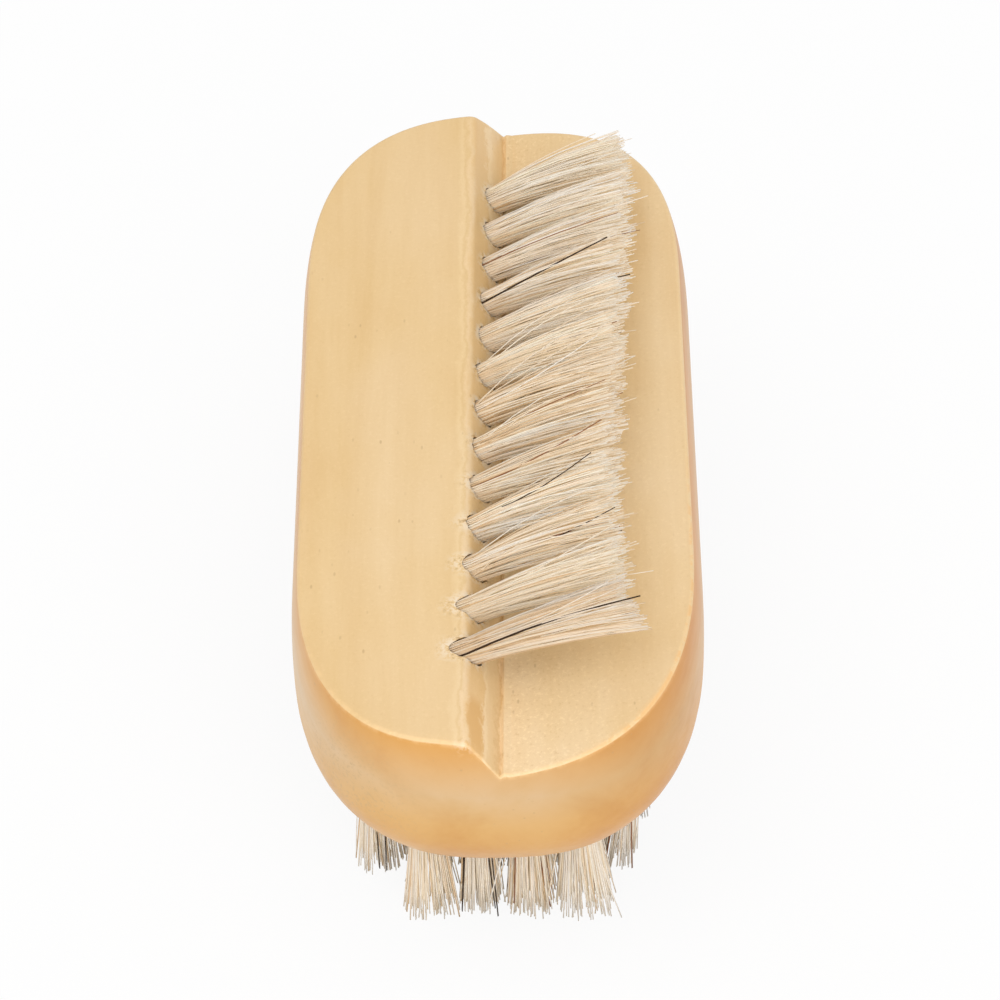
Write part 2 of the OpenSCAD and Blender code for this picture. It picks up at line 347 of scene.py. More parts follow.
def node(tree, kind, **values):
    """A shader node with its settings, and with its inputs set by name."""
    made = tree.nodes.new(kind)
    for key, value in values.items():
        if key in made.inputs:
            made.inputs[key].default_value = value
        else:
            setattr(made, key, value)
    return made


def ramp_of(tree, source, stops):
    """A colour ramp fed from a socket, with stops as pairs of place and colour, where a number is a grey."""
    made = node(tree, "ShaderNodeValToRGB")
    while len(made.color_ramp.elements) < len(stops):
        made.color_ramp.elements.new(0.5)
    for element, (place, colour) in zip(made.color_ramp.elements, stops):
        element.position = place
        element.color = (*colour, 1) if isinstance(colour, tuple) else (colour, colour, colour, 1)
    tree.links.new(source, made.inputs["Fac"])
    return made.outputs["Color"]


def blended(tree, share, first, second, kind="MIX"):
    """Two colours blended by a share, where each is a socket, a colour or a number."""
    made = node(tree, "ShaderNodeMix", data_type="RGBA", blend_type=kind)
    for socket, value in ((made.inputs[0], share), (made.inputs[6], first), (made.inputs[7], second)):
        if isinstance(value, bpy.types.NodeSocket):
            tree.links.new(value, socket)
        elif isinstance(value, tuple):
            socket.default_value = (*value, 1)
        else:
            socket.default_value = value
    return made.outputs[2]


def times(tree, first, *others):
    """Colours multiplied together."""
    for other in others:
        first = blended(tree, 1.0, first, other, "MULTIPLY")
    return first


def spread(tree, source, low, high):
    """A length mapped from between two lengths to a share."""
    made = node(tree, "ShaderNodeMapRange")
    made.inputs["From Min"].default_value, made.inputs["From Max"].default_value = low, high
    tree.links.new(source, made.inputs["Value"])
    return made.outputs["Result"]


def object_place(tree):
    """Object coordinates, in metres."""
    return node(tree, "ShaderNodeTexCoord").outputs["Object"]


def stretched(tree, x, y, z):
    """Object coordinates scaled along each axis, in repeats a metre."""
    made = node(tree, "ShaderNodeMapping", Scale=(x, y, z))
    tree.links.new(object_place(tree), made.inputs["Vector"])
    return made.outputs["Vector"]


def noise(tree, vector, output="Fac", **values):
    """A noise over coordinates, with one repeat a unit unless a scale is given."""
    made = node(tree, "ShaderNodeTexNoise", **{"Scale": 1.0, **values})
    tree.links.new(vector, made.inputs["Vector"])
    return made.outputs[output]


def attribute(tree, name, output="Fac"):
    """A named attribute of the mesh."""
    return node(tree, "ShaderNodeAttribute", attribute_name=name).outputs[output]


def axes_of(tree, vector):
    """The three parts of a vector, by name."""
    made = node(tree, "ShaderNodeSeparateXYZ")
    tree.links.new(vector, made.inputs[0])
    return made.outputs


def new_material(name):
    """A material, its node tree and its main shader."""
    material = bpy.data.materials.new(name)
    material.use_nodes = True
    return material, material.node_tree, material.node_tree.nodes["Principled BSDF"]


def lengthways(tree):
    """The share of the way from the block's near end to its far end."""
    return spread(tree, axes_of(tree, object_place(tree))["Y"], -half_length, half_length)


def sideways(tree):
    """The share of the way from the block's left side to its right side."""
    return spread(tree, axes_of(tree, object_place(tree))["X"], -half_width, half_width)


def raw_wood(tree, fibre, cloud):
    """The wood's own colour: broad grain along it, a little of the fibres, and half of the clouds."""
    broad = noise(tree, stretched(tree, 170, 13, 170), Detail=5.0, Roughness=0.6, Distortion=0.7)
    wood = ramp_of(tree, broad, [(0.34, (0.790, 0.540, 0.255)), (0.5, (0.840, 0.600, 0.310)),
                                 (0.66, (0.885, 0.655, 0.370))])
    fibres = ramp_of(tree, fibre, [(0.3, (0.66, 0.42, 0.18)), (0.6, (0.86, 0.64, 0.37))])
    clouds = ramp_of(tree, cloud, [(0.36, (0.78, 0.52, 0.24)), (0.5, (0.84, 0.60, 0.31)),
                                   (0.64, (0.89, 0.67, 0.41))])
    return blended(tree, 0.5, blended(tree, 0.09, wood, fibres), clouds)


def planed_top(tree, wood):
    """The wood of the planed top. Streaks follow the notch, at distances from the middle line that wander a
    little, and among them are a painted highlight along the ridge and painted light and shade lines on the
    wall and at its root. The right plane is gritty, and painted lighter, most at the near end, against the
    shade that the wall and the tufts cast on it. A stretch of the wall at the near end is darker and more
    orange."""
    turned = node(tree, "ShaderNodeMapping", Rotation=(0, 0, notch_turn))
    tree.links.new(object_place(tree), turned.inputs["Vector"])
    wander_reach = 2.6 * MM
    wander = node(tree, "ShaderNodeVectorMath", operation="MULTIPLY_ADD")
    wander.inputs[1].default_value = (wander_reach, 0, 0)
    uneven = noise(tree, stretched(tree, 420, 210, 420), "Color", Detail=6.0, Roughness=0.72)
    tree.links.new(uneven, wander.inputs[0])
    tree.links.new(turned.outputs["Vector"], wander.inputs[2])
    across = axes_of(tree, wander.outputs["Vector"])["X"]

    reach = 4.0
    by_notch = spread(tree, across, wander_reach / 2 - reach * MM, wander_reach / 2 + reach * MM)
    # Painted light and shade: ridge highlight at -2.7, light lines at -0.8 and 0.75, root shade at 0.55
    notch_stops_with_painted_light = [(-4.0, (0.97, 0.94, 0.87)), (-3.4, (1.02, 1.02, 1.00)), (-3.1, (0.96, 0.92, 0.83)),
               (-2.7, (1.05, 1.05, 1.09)), (-2.2, (1.01, 0.95, 0.85)), (-1.1, (1.0, 0.94, 0.82)),
               (-0.8, (1.10, 1.15, 1.26)), (-0.45, (1.03, 1.03, 1.03)), (0.3, (1.0, 0.98, 0.95)),
               (0.55, (0.92, 0.86, 0.77)), (0.75, (1.08, 1.10, 1.16)), (1.2, (1.04, 1.05, 1.09))]
    notch_tint_with_painted_light = ramp_of(tree, by_notch, [((x + reach) / (2 * reach), colour) for x, colour in notch_stops_with_painted_light])
    base = times(tree, wood, notch_tint_with_painted_light)

    along = lengthways(tree)
    grit = noise(tree, stretched(tree, 2600, 2600, 2600), Detail=2.0, Roughness=0.7)
    gritty = ramp_of(tree, grit, [(0.28, (0.90, 0.86, 0.80)), (0.42, 1.0), (0.56, 1.0),
                                  (0.68, (1.10, 1.14, 1.22))])
    # Painted light: the right plane lighter, most at the near end, where the wall and the tufts shade it
    painted_right_light = ramp_of(tree, along, [(0.0, (1.05, 1.08, 1.16)), (0.6, (1.05, 1.07, 1.13)),
                                  (1.0, (0.98, 0.95, 0.87))])
    at_right = ramp_of(tree, spread(tree, across, 1.9 * MM, 19 * MM), [(0.0, 0.25), (0.05, 1.0), (0.9, 0.35)])
    base = blended(tree, at_right, base, times(tree, base, gritty, painted_right_light))

    # A stretch of the wall at the near end, darker and more orange
    on_wall = ramp_of(tree, by_notch, [(0.20, 0.0), (0.24, 1.0), (0.35, 1.0), (0.385, 0.0)])
    near_wall_orange = times(tree, on_wall, ramp_of(tree, along, [(0.075, 0.9), (0.09, 0.0)]))
    base = blended(tree, near_wall_orange, base, (0.80, 0.49, 0.20))
    return times(tree, base, ramp_of(tree, along, [(0.0, (0.98, 0.955, 0.90)), (0.28, 1.0)]))


def with_skin_and_painted_light(tree, base, wood):
    """A colour with the moulded skin round it, wherever the surface faces sideways or down. The skin is
    painted darker than the top as painted shade, in bands from the underside up: a lighter painted
    reflection at mid height between warmer orange at the foot and under the rim, with blotches. It is darker
    still at the near end as painted shade, lighter at its left as a painted reflection, and warmer at its
    right, most of all at the near end."""
    along = lengthways(tree)
    height = spread(tree, axes_of(tree, object_place(tree))["Z"], underside, block_high.z)
    # Painted reflection: lighter at mid height, warmer orange at the foot and under the rim
    bands = ramp_of(tree, height, [(0.2, (0.85, 0.62, 0.29)), (0.42, (0.88, 0.73, 0.50)),
                                   (0.64, (0.85, 0.79, 0.76)), (0.95, (0.85, 0.59, 0.27))])
    # Painted shade: the skin darker at the near end
    skin = times(tree, bands, ramp_of(tree, along, [(0.0, (0.90, 0.89, 0.87)), (0.16, 1.0)]))
    # Painted reflection: lighter at the left side; warmer at the right
    warmer = ramp_of(tree, sideways(tree), [(0.03, (1.05, 1.11, 1.24)), (0.2, (1.01, 1.02, 1.03)), (0.6, 1.0),
                                            (0.92, (0.94, 0.80, 0.55)), (0.99, (1.02, 0.92, 0.76))])
    skin = blended(tree, ramp_of(tree, along, [(0.3, 1.0), (0.8, 0.35)]), skin, times(tree, skin, warmer))
    blotch = noise(tree, stretched(tree, 130, 60, 130), Detail=4.0, Roughness=0.6, Distortion=0.4)
    mottled = ramp_of(tree, blotch, [(0.32, (0.93, 0.86, 0.74)), (0.5, (0.99, 0.98, 0.96)),
                                     (0.68, (1.01, 1.03, 1.08))])
    plain = blended(tree, 0.5, (0.82, 0.575, 0.29), wood)
    # The skin's darker tone on sideways and downward faces is painted shade
    facing_up = axes_of(tree, node(tree, "ShaderNodeNewGeometry").outputs["Normal"])["Z"]
    on_side = ramp_of(tree, facing_up, [(0.35, 1.0), (0.55, 0.0)])
    return blended(tree, on_side, base, times(tree, plain, skin, mottled))


def with_rim_highlight_and_patches(tree, base, edge, nicks):
    """A colour with a painted highlight along its rims, broken up by the nicks and strongest at the near
    end, and irregular orange patches along the rim at the near right."""
    along = lengthways(tree)
    # Painted highlight along the rim, broken by the nicks, strongest at the near end
    rim_highlight = times(tree, edge, ramp_of(tree, nicks, [(0.42, 0.1), (0.58, 0.9)]),
                   ramp_of(tree, along, [(0.1, 0.85), (0.3, 0.3), (1.0, 0.12)]))
    base = blended(tree, rim_highlight, base, (0.90, 0.61, 0.30))
    # Irregular orange patches along the rim at the near right
    rim_patch_noise = noise(tree, stretched(tree, 380, 380, 380), Detail=4.0, Roughness=0.65)
    rim_patches = times(tree, edge, ramp_of(tree, rim_patch_noise, [(0.46, 0.0), (0.52, 0.85)]),
                    ramp_of(tree, sideways(tree), [(0.62, 0.0), (0.78, 1.0)]),
                    ramp_of(tree, along, [(0.3, 1.0), (0.45, 0.0)]))
    return blended(tree, rim_patches, base, (0.88, 0.50, 0.19))


def with_small_marks(tree, base):
    """A colour with the wood's small marks: pores in patches, pale and dark flakes of torn wood round the
    holes and at the chip, and freckles round one spot at the near left."""
    pores = node(tree, "ShaderNodeTexVoronoi", feature="F1", Scale=1.0, Randomness=1.0)
    tree.links.new(stretched(tree, 900, 420, 900), pores.inputs["Vector"])
    patches = noise(tree, stretched(tree, 160, 110, 160), Detail=2.0)
    pored = times(tree, ramp_of(tree, pores.outputs["Distance"], [(0.07, 1.0), (0.14, 0.0)]),
                  ramp_of(tree, patches, [(0.5, 0.0), (0.62, 1.0)]), (0.45, 0.45, 0.45))
    base = blended(tree, pored, base, (0.50, 0.30, 0.13))

    torn = attribute(tree, "torn")
    flakes = noise(tree, stretched(tree, 1500, 1500, 1500), Detail=3.0, Roughness=0.7)
    pale = times(tree, torn, ramp_of(tree, flakes, [(0.47, 0.0), (0.55, 1.0)]))
    base = blended(tree, pale, base, (0.93, 0.77, 0.57))
    dark = times(tree, torn, ramp_of(tree, flakes, [(0.36, 0.9), (0.43, 0.0)]))
    base = blended(tree, dark, base, (0.50, 0.31, 0.14))

    from_spot = node(tree, "ShaderNodeVectorMath", operation="DISTANCE")
    tree.links.new(object_place(tree), from_spot.inputs[0])
    from_spot.inputs[1].default_value = (-13.5 * MM, -41.0 * MM, underside + 8 * MM)
    near_spot = ramp_of(tree, spread(tree, from_spot.outputs["Value"], 0, 10 * MM), [(0.3, 0.38), (1.0, 0.0)])
    freckles = noise(tree, stretched(tree, 2300, 2300, 2300), Detail=3.0, Roughness=0.6)
    freckled = times(tree, near_spot, ramp_of(tree, freckles, [(0.54, 0.0), (0.62, 1.0)]))
    return blended(tree, freckled, base, (0.52, 0.33, 0.15))


def lacquered_wood():
    """Pale wood under lacquer: a thin coat over a slightly rough ground, with a faint relief of the fibres
    and clouds, and a rougher one where the rims are nicked."""
    material, tree, shader = new_material("lacquered_wood")
    fibre = noise(tree, stretched(tree, 1500, 60, 1500), Detail=3.0, Roughness=0.6)
    cloud = noise(tree, stretched(tree, 60, 30, 60), Detail=4.0)
    nicks = noise(tree, stretched(tree, 700, 700, 700), Detail=4.0, Roughness=0.7)
    edge = attribute(tree, "rim")
    wood = raw_wood(tree, fibre, cloud)
    base = with_skin_and_painted_light(tree, planed_top(tree, wood), wood)
    base = with_small_marks(tree, with_rim_highlight_and_patches(tree, base, edge, nicks))
    tree.links.new(base, shader.inputs["Base Color"])
    tree.links.new(ramp_of(tree, fibre, [(0.3, 0.50), (0.7, 0.40)]), shader.inputs["Roughness"])
    relief = node(tree, "ShaderNodeBump", Strength=0.25, Distance=0.04 * MM)
    tree.links.new(blended(tree, 0.5, fibre, cloud), relief.inputs["Height"])
    chips = node(tree, "ShaderNodeBump", Distance=0.3 * MM)
    tree.links.new(edge, chips.inputs["Strength"])
    tree.links.new(nicks, chips.inputs["Height"])
    tree.links.new(relief.outputs["Normal"], chips.inputs["Normal"])
    tree.links.new(chips.outputs["Normal"], shader.inputs["Normal"])
    shader.inputs["Specular IOR Level"].default_value = 0.3
    shader.inputs["Coat Weight"].default_value = 0.3
    shader.inputs["Coat Roughness"].default_value = 0.25
    return material


block.data.materials.clear()
block.data.materials.append(lacquered_wood())
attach(block, "root")
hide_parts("block")

# Anchors: short pieces of flat drawn steel wire, one across each hole. They are driven in with the folded
# tuft and bite into the wood at both ends, out of sight.


def drawn_wire():
    """Bright drawn steel: fine lines along the wire and a slightly uneven polish."""
    material, tree, shader = new_material("drawn_wire")
    lines = noise(tree, stretched(tree, 9000, 400, 9000), Detail=2.0)
    tree.links.new(ramp_of(tree, lines, [(0.3, (0.50, 0.49, 0.47)), (0.7, (0.68, 0.67, 0.64))]),
                   shader.inputs["Base Color"])
    tree.links.new(ramp_of(tree, lines, [(0.3, 0.38), (0.7, 0.26)]), shader.inputs["Roughness"])
    shader.inputs["Metallic"].default_value = 1.0
    return material


wire = drawn_wire()
for name in ("top_staples", "lower_staples"):
    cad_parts[name].data.materials.clear()
    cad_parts[name].data.materials.append(wire)

# Top row: 13 tufts of ivory natural bristle, each folded double round its anchor and packed into a slanting
# hole. They fan out until they meet their neighbours, sag a little, and were cut to length with a few hairs
# missed.
hair_radius = 0.085 * MM
wire_half, wire_height, wire_bottom = 0.25 * MM, 1.6 * MM, 1.2 * MM
pack_radius = hole_radius - hair_radius
golden_angle, leg_power = 2.399963, 1.12
tones = np.array([(0.97, 0.835, 0.675), (0.95, 0.785, 0.60), (0.98, 0.90, 0.79), (0.80, 0.59, 0.38),
                  (0.30, 0.12, 0.05), (0.035, 0.014, 0.005)])
CREAM, WHITE, TAN, BROWN, BLACK = 0, 2, 3, 4, 5


def half_disc(count, dice):
    """Evenly packed places in one half of a disc, on a sunflower spiral: beyond the anchor, and along it."""
    k = np.arange(2 * count)
    turn = k * golden_angle + dice.uniform(0, 2 * math.pi)
    reach = pack_radius * np.sqrt((k + 0.5) / (2 * count))
    beyond, along = reach * np.cos(turn), reach * np.sin(turn)
    order = np.argsort(-beyond)[:count]
    return np.clip(beyond[order], 0.03 * MM, None), along[order]


def leg_path(start, tip, length, bow, shares):
    """Points of a leg from its mouth to its tip: the offset grows with a power of the share of the length,
    and a bow of half a sine wave is added across it."""
    share = shares[None, :, None]
    offset = (tip - start)[:, None, :] * share ** leg_power
    side = start[:, None, :] + offset + bow[:, None, :] * np.sin(math.pi * share)
    return np.concatenate([side, length[:, None, None] * share], -1)


def folded_lines(beyond, along, depth, legs):
    """Centre lines of hairs: in from the tip of one leg, down its hole, round under the wire and out along
    the other leg. Beside the wire each hair is pushed out, by the share of the room that is left there."""
    least_room, above_wire, below_wire = 0.62 * MM, 0.5 * MM, 0.06 * MM
    room = np.sqrt(np.clip(pack_radius ** 2 - along ** 2, least_room ** 2, None))
    clear = wire_half + 1.2 * hair_radius
    share = np.clip(beyond / room, 0, 1)
    deep = clear + share * (room - clear)
    level = wire_bottom - depth
    loop_depth = (0.26 + 0.6 * share) * MM

    def at(x, z):
        """A point of every hair, at one distance across the wire and one height."""
        return np.stack([x, along, z + 0 * x], -1)[:, None]

    sides = [np.concatenate([path[:, ::-1], at(sign * beyond, 0),
                             at(sign * deep, level + wire_height + above_wire),
                             at(sign * deep, level - below_wire)], 1) for sign, path in zip((1, -1), legs)]
    return np.concatenate([sides[0], at(0 * beyond, level - loop_depth), sides[1][:, ::-1]], 1)


def hair_tubes(lines, radius, sides):
    """Tubes of a few sides along the lines, square to them, with flat ends: each corner is the line's point
    plus the radius times a direction turned round the line."""
    ahead = np.gradient(lines, axis=1)
    ahead /= np.linalg.norm(ahead, axis=-1, keepdims=True)
    across = np.cross(ahead, [0.0, 1.0, 0.0])
    across /= np.linalg.norm(across, axis=-1, keepdims=True)
    over = np.cross(ahead, across)
    turn = np.arange(sides) * 2 * math.pi / sides
    spoke = across[:, :, None] * np.cos(turn)[:, None] + over[:, :, None] * np.sin(turn)[:, None]
    corners = lines[:, :, None] + radius[:, :, None, None] * spoke
    index = np.arange(corners.shape[0] * corners.shape[1] * sides).reshape(corners.shape[:3])
    ahead_of = np.roll(index, -1, 2)
    wall = np.stack([index[:, :-1], ahead_of[:, :-1], ahead_of[:, 1:], index[:, 1:]], -1).reshape(-1, 4)
    return corners.reshape(-1, 3), wall, np.concatenate([index[:, 0, ::-1], index[:, -1]])


def tuft(depth, count, length, tips, dice, chances, shares, sides, taper, marks):
    """All the hairs of a tuft in its hole's own axes: tubes, and a colour and a reach at each point. tips
    gives where each leg ends across the tuft, how long it is and how it bows, chances how many hairs have
    each tone, and shares the places of a leg's points. The radius falls from the root by the taper times a
    power of the reach. A mark is one odd hair: its start, tip and bow in millimetres, its length over the
    others', its tone and its thickness. A few locks of the tuft differ in tone and warmth."""
    locks = 7
    beyond, along = half_disc(count, dice)
    pick = dice.choice(len(tones), count, p=chances)
    thick = hair_radius * dice.uniform(0.8, 1.15, count)
    legs = []
    for sign in (1, -1):
        start = np.stack([sign * beyond, along], -1)
        tip, reach, bow = tips(start, length, dice)
        for origin, end, bend, longer, tone, stout in marks:
            if origin[0] * sign > 0:
                k = np.argmin(np.linalg.norm(start - np.array(origin) * MM, axis=1))
                tip[k], bow[k], reach[k] = np.array(end) * MM, np.array(bend) * MM, length + longer * MM
                pick[k], thick[k] = tone, hair_radius * stout
        legs.append(leg_path(start, tip, reach, bow, shares))
    lines = folded_lines(beyond, along, depth, legs)
    hidden = np.zeros(lines.shape[1] - 2 * len(shares))
    reach = np.concatenate([shares[::-1], hidden, shares])
    tubes = hair_tubes(lines, thick[:, None] * (1 - taper * reach ** 1.5), sides)
    heart = dice.integers(0, count, locks)
    lock = np.argmin(np.hypot(beyond[:, None] - beyond[heart], along[:, None] - along[heart]), axis=1)
    warmth = dice.uniform(-1, 1, (locks, 1)) * np.array([0.0, 0.03, 0.09])
    lock_tone = dice.uniform(0.93, 1.03, (locks, 1)) * (1 - warmth)
    colour = np.clip(tones[pick] * lock_tone[lock] * dice.uniform(0.94, 1.03, (count, 1)), 0, 0.98)
    colours = np.repeat(colour, lines.shape[1] * sides, 0)
    return tubes, colours, np.tile(np.repeat(reach, sides), count)


def gathered(tip, locks, pull, dice):
    """Tips drawn part of the way to the nearest of a few random tips, as hairs cling together in locks."""
    centres = tip[dice.choice(len(tip), locks, replace=False)]
    near = np.argmin(np.linalg.norm(tip[:, None] - centres[None], axis=-1), axis=1)
    return tip + (centres[near] - tip) * pull * dice.uniform(0.5, 1.2, (len(tip), 1)), near


def hair_piece(name, tufts):
    """One mesh of several tufts, each placed by its mouth and axes, with the hairs' colour and the share
    along them as attributes."""
    placed = [(points @ axes + mouth, wall, ends) for (mouth, axes), ((points, wall, ends), _, _) in tufts]
    piece = new_piece(name, *joined(placed))
    mesh = piece.data
    colours = np.concatenate([hairs[1] for _, hairs in tufts])
    reach = np.concatenate([hairs[2] for _, hairs in tufts]).astype(np.float32)
    flat = np.concatenate([colours, np.ones((len(colours), 1))], 1).astype(np.float32)
    mesh.attributes.new("hair_colour", "FLOAT_COLOR", "POINT").data.foreach_set("color", flat.ravel())
    mesh.attributes.new("hair_reach", "FLOAT", "POINT").data.foreach_set("value", reach)
    mesh.shade_smooth()
    return piece


def top_tips(number):
    """How the legs of one top tuft end: fanned along the brush until they meet the next tuft, less fanned
    across, lowered by the sag, and gathered into locks. The last tuft's outer hairs are longer and hang
    lower. A few hairs were missed by the cut, a few are too short, and a few stray."""
    fan_across, fan_along, sag, highest = 1.9 * MM, 3.15 * MM, 1.0 * MM, 2.0 * MM
    scatter, uneven, bend = 0.4 * MM, 0.16 * MM, 0.17 * MM
    stray_scatter, stray_bend = 1.2 * MM, 0.5 * MM
    locks, pull = 9, 0.38
    missed, short, straying = 0.03, 0.05, 0.07

    def tips(start, length, dice):
        """The end, the length and the bow of each leg that starts at these places."""
        count = len(start)
        tip = start / pack_radius * np.array([fan_across, fan_along]) + dice.normal(0, scatter, (count, 2))
        tip, lock = gathered(tip, locks, pull, dice)
        tip[:, 0] += sag
        lock_length = dice.normal(0, uneven, locks)
        reach = length + lock_length[lock] + dice.normal(0, uneven, count)
        if number == top_count - 1:
            outer = np.clip(-start[:, 1] / pack_radius, 0, 1)
            tip += outer[:, None] * np.array([0.9, -0.3]) * MM
            reach += outer * 1.9 * MM
        reach += np.where(dice.uniform(size=count) < missed, dice.uniform(0.4, 1.4, count), 0) * MM
        reach -= np.where(dice.uniform(size=count) < short, dice.uniform(0.5, 3, count), 0) * MM
        stray = dice.uniform(size=(count, 1)) < straying
        tip += np.where(stray, dice.normal(0, stray_scatter, (count, 2)), 0)
        tip[:, 0] = np.maximum(tip[:, 0], -highest)
        bow = dice.normal(0, bend, (count, 2)) + np.array([-0.35 * MM, 0.1 * MM])
        bow += np.where(stray, dice.normal(0, stray_bend, (count, 2)), 0)
        return tip, reach, bow
    return tips


def ray_share(tree, first, second, most):
    """A share that is most for two kinds of ray, and 0 for the others."""
    rays = node(tree, "ShaderNodeLightPath")
    either = node(tree, "ShaderNodeMath", operation="MAXIMUM")
    tree.links.new(rays.outputs[first], either.inputs[0])
    tree.links.new(rays.outputs[second], either.inputs[1])
    part = node(tree, "ShaderNodeMath", operation="MULTIPLY")
    tree.links.new(either.outputs[0], part.inputs[0])
    part.inputs[1].default_value = most
    return part.outputs[0]


def mixed_shaders(tree, share, first, second):
    """Two shaders mixed, from the first at a share of 0 to the second at 1."""
    mixed = node(tree, "ShaderNodeMixShader")
    for socket, source in zip(mixed.inputs, (share, first, second)):
        tree.links.new(source, socket)
    return mixed.outputs[0]


def bristle(name, passed):
    """Natural bristle: the hair's own colour, a little darker and warmer towards the root, faint bands
    along it, and a soft waxy shine. A large share of the light passes through the hairs, so they shade one
    another little."""
    material, tree, shader = new_material(name)
    reach = attribute(tree, "hair_reach")
    shade = ramp_of(tree, reach, [(0.0, (0.93, 0.86, 0.77)), (0.25, (0.98, 0.96, 0.93)),
                                  (0.6, (1.0, 0.99, 0.98)), (1.0, 1.0)])
    bands = noise(tree, object_place(tree), Scale=1800.0, Detail=2.0)
    base = times(tree, attribute(tree, "hair_colour", "Color"), shade,
                 ramp_of(tree, bands, [(0.3, (0.95, 0.93, 0.90)), (0.6, 1.0)]))
    tree.links.new(base, shader.inputs["Base Color"])
    shader.inputs["Roughness"].default_value = 0.45
    shader.inputs["Specular IOR Level"].default_value = 0.35
    shader.inputs["Specular Tint"].default_value = (1.0, 0.88, 0.72, 1.0)
    clear = node(tree, "ShaderNodeBsdfTransparent", Color=(1.0, 0.965, 0.895, 1.0))
    share = ray_share(tree, "Is Shadow Ray", "Is Diffuse Ray", passed)
    surface = mixed_shaders(tree, share, shader.outputs[0], clear.outputs[0])
    tree.links.new(surface, tree.nodes["Material Output"].inputs["Surface"])
    return material


top_passed, lower_passed = 0.958, 0.975
top_hair, lower_hair = bristle("top_hair", top_passed), bristle("lower_hair", lower_passed)
top_hairs, top_sides, top_taper = 95, 4, 0.35
top_shares = np.array([0.15, 0.35, 0.58, 0.8, 1.0])
top_lengths = np.array([15.2, 15.6, 15.7, 15.4, 15.3, 14.9, 15.0, 15.0, 14.8, 14.8, 15.2, 15.7, 16.2]) * MM
top_whites = [0.75, 0.5, 0.3, 0.25, 0.55, 0.4, 0.15, 0.15, 0.25, 0.6, 0.2, 0.45, 0.4]
top_tans = [0.02, 0.03, 0.05, 0.12, 0.03, 0.04, 0.18, 0.2, 0.12, 0.05, 0.15, 0.06, 0.12]
top_browns, top_seed = 0.005, 300
# Painted shade: the two tufts at the near end are darkened, the last one most
near_tuft_shade = {11: (0.95, 0.94, 0.93), 12: (0.86, 0.83, 0.81)}
# Odd hairs by tuft, as tuft takes them
top_marks = {0: [((-1.1, 0.6), (-2.1, 1.3), (-0.5, 0), -1.6, CREAM, 0.9)],
             1: [((-0.8, -0.6), (0.4, -1.9), (-0.5, 0), 2.0, WHITE, 1.0)],
             2: [((-0.8, 0.4), (-0.2, 1.2), (-0.5, 0), 3.2, CREAM, 1.0)],
             3: [((-1.1, -0.7), (-1.4, 1.2), (-0.3, -0.2), -0.6, BLACK, 1.5)],
             5: [((-1.2, -0.5), (-1.5, 3.6), (-0.4, 0.7), -1.5, WHITE, 0.9),
                 ((-1.2, 0.4), (-1.4, 4.6), (-0.5, 0.3), -4, WHITE, 0.8)],
             6: [((-1.2, -0.6), (-1.5, 3.0), (-0.4, -0.8), -1, WHITE, 0.9),
                 ((-1.2, 0.2), (-1.6, 4.4), (-0.6, 0.9), -3, CREAM, 0.9),
                 ((-1.1, 0.7), (-1.4, 5.2), (-0.4, 0.2), -5, WHITE, 0.8)],
             7: [((-0.9, 0.9), (-0.9, 2.2), (-0.5, -0.3), -0.4, BROWN, 0.9),
                 ((-1.2, -0.3), (-1.3, 3.2), (-0.5, 0.6), -2, WHITE, 0.8)],
             8: [((-1.1, -0.4), (-1.1, 1.9), (-0.4, -0.9), -0.4, BROWN, 1.2)],
             9: [((-1.1, 0.6), (-1.4, 2.9), (-0.3, -1.3), -1.3, BLACK, 1.1)],
             10: [((-0.6, -0.5), (-1.3, -0.3), (0.6, 0), 0.9, BLACK, 1.1),
                  ((-1.2, 0.3), (-1.4, 3.4), (-0.5, 0.5), -1, WHITE, 0.9)],
             11: [((-1.2, -0.4), (-1.3, 2.8), (-0.4, -0.6), 0.4, WHITE, 0.9)],
             12: [((-0.9, -1.0), (-0.9, -1.9), (-0.7, -0.1), 2.5, BLACK, 1.7),
                  ((-1.0, 0.4), (-0.9, 0.2), (-0.5, 0), 0, TAN, 1.2)]}
for i in range(top_count):
    dice = np.random.default_rng(top_seed + i)
    rest = 1 - top_browns - top_whites[i] - top_tans[i]
    chances = [0.62 * rest, 0.38 * rest, top_whites[i], top_tans[i], top_browns, 0]
    tubes, colours, reach = tuft(top_hole_depth, top_hairs, top_lengths[i], top_tips(i), dice, chances,
                                 top_shares, top_sides, top_taper, top_marks.get(i, ()))
    # Painted shade on the near tufts' colours
    near_shaded_colours = colours * np.array(near_tuft_shade.get(i, (1, 1, 1)))
    piece = hair_piece(f"top_tuft_{i + 1:02d}_bristles", [(top_place(i), (tubes, near_shaded_colours, reach))])
    piece.data.materials.append(top_hair)
    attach(piece, "root")
    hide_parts(f"top_tuft_{i + 1:02d}")

# Lower bristles: 74 tufts of the same bristle, driven straight into the underside in 13 rows across. They
# are cut flat, in the plane that the brush stands on, and fan out until they touch.


